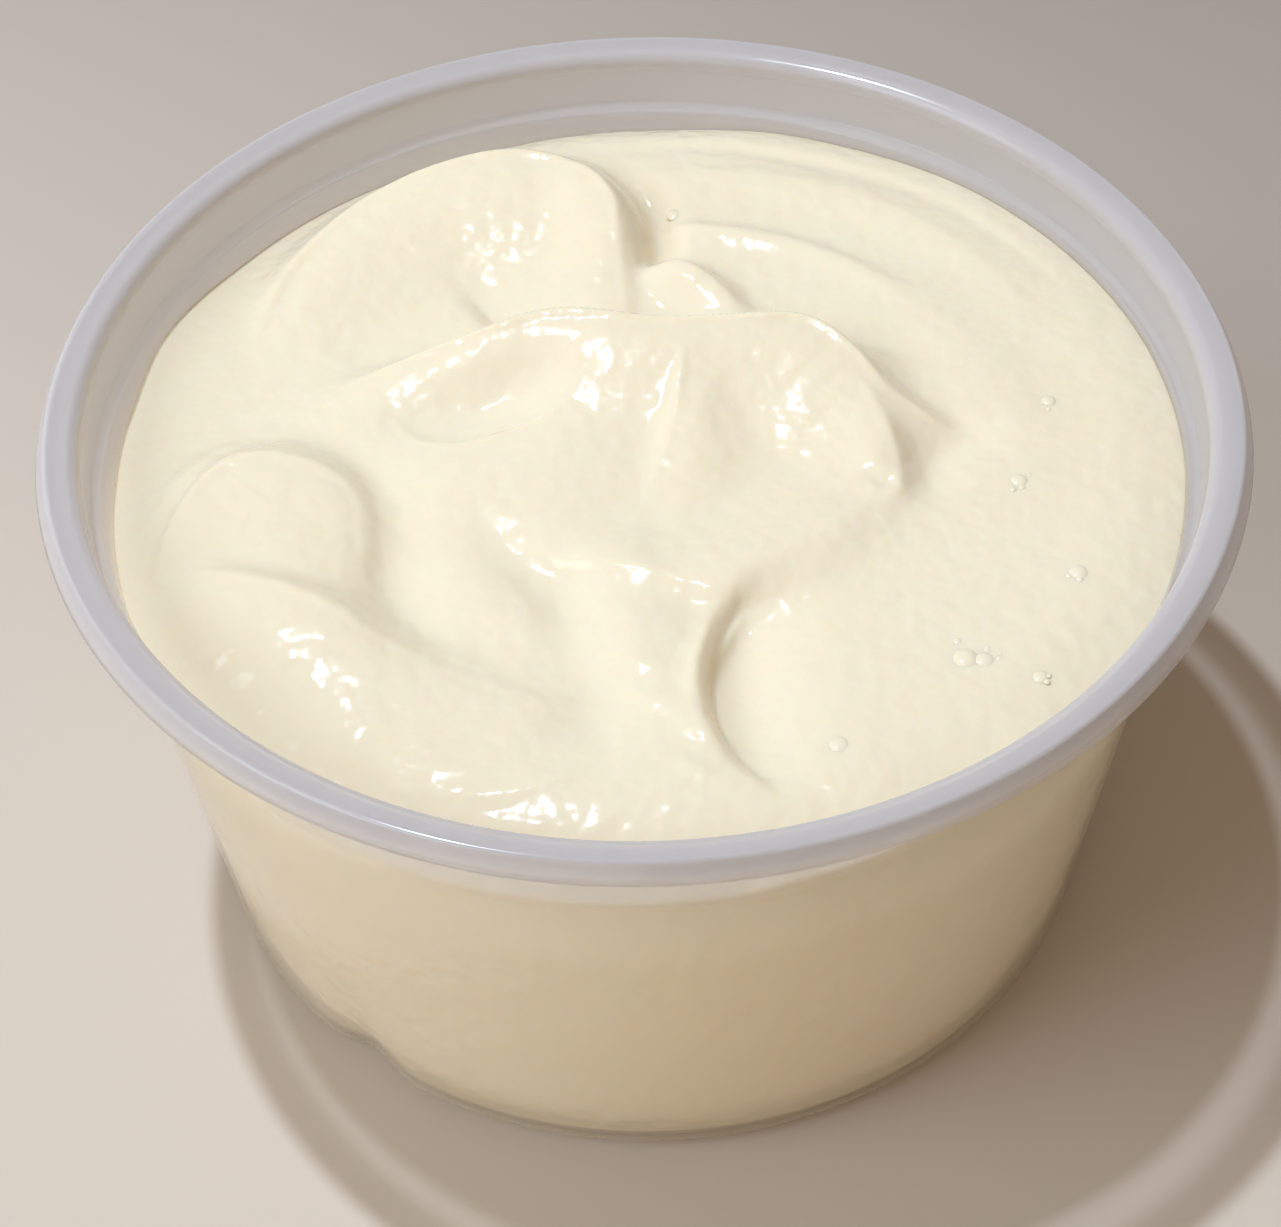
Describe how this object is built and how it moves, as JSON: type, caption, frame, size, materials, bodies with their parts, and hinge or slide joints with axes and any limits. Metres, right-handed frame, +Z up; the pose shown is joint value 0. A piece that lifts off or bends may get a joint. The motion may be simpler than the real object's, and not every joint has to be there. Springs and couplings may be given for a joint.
{
  "type": "sour cream tub",
  "caption": "Open translucent portion cup with a rolled rim and tapered wall, filled with sour cream left in soft spooned folds.",
  "frame": {"origin": "centre of the flat base, on the surface that the cup stands on", "axes": "+Z up out of the open mouth; -Y is the side nearest the viewer in the picture, with the small dent in the foot towards its left"},
  "size_m": [0.0746, 0.0746, 0.0379],
  "materials": {
    "translucent_plastic": "smooth, frosted translucent",
    "cultured_cream": "wet and glossy, smooth"
  },
  "bodies": {
    "root": {"cup": "translucent_plastic", "sour_cream": "cultured_cream"}
  },
  "joints": []
}
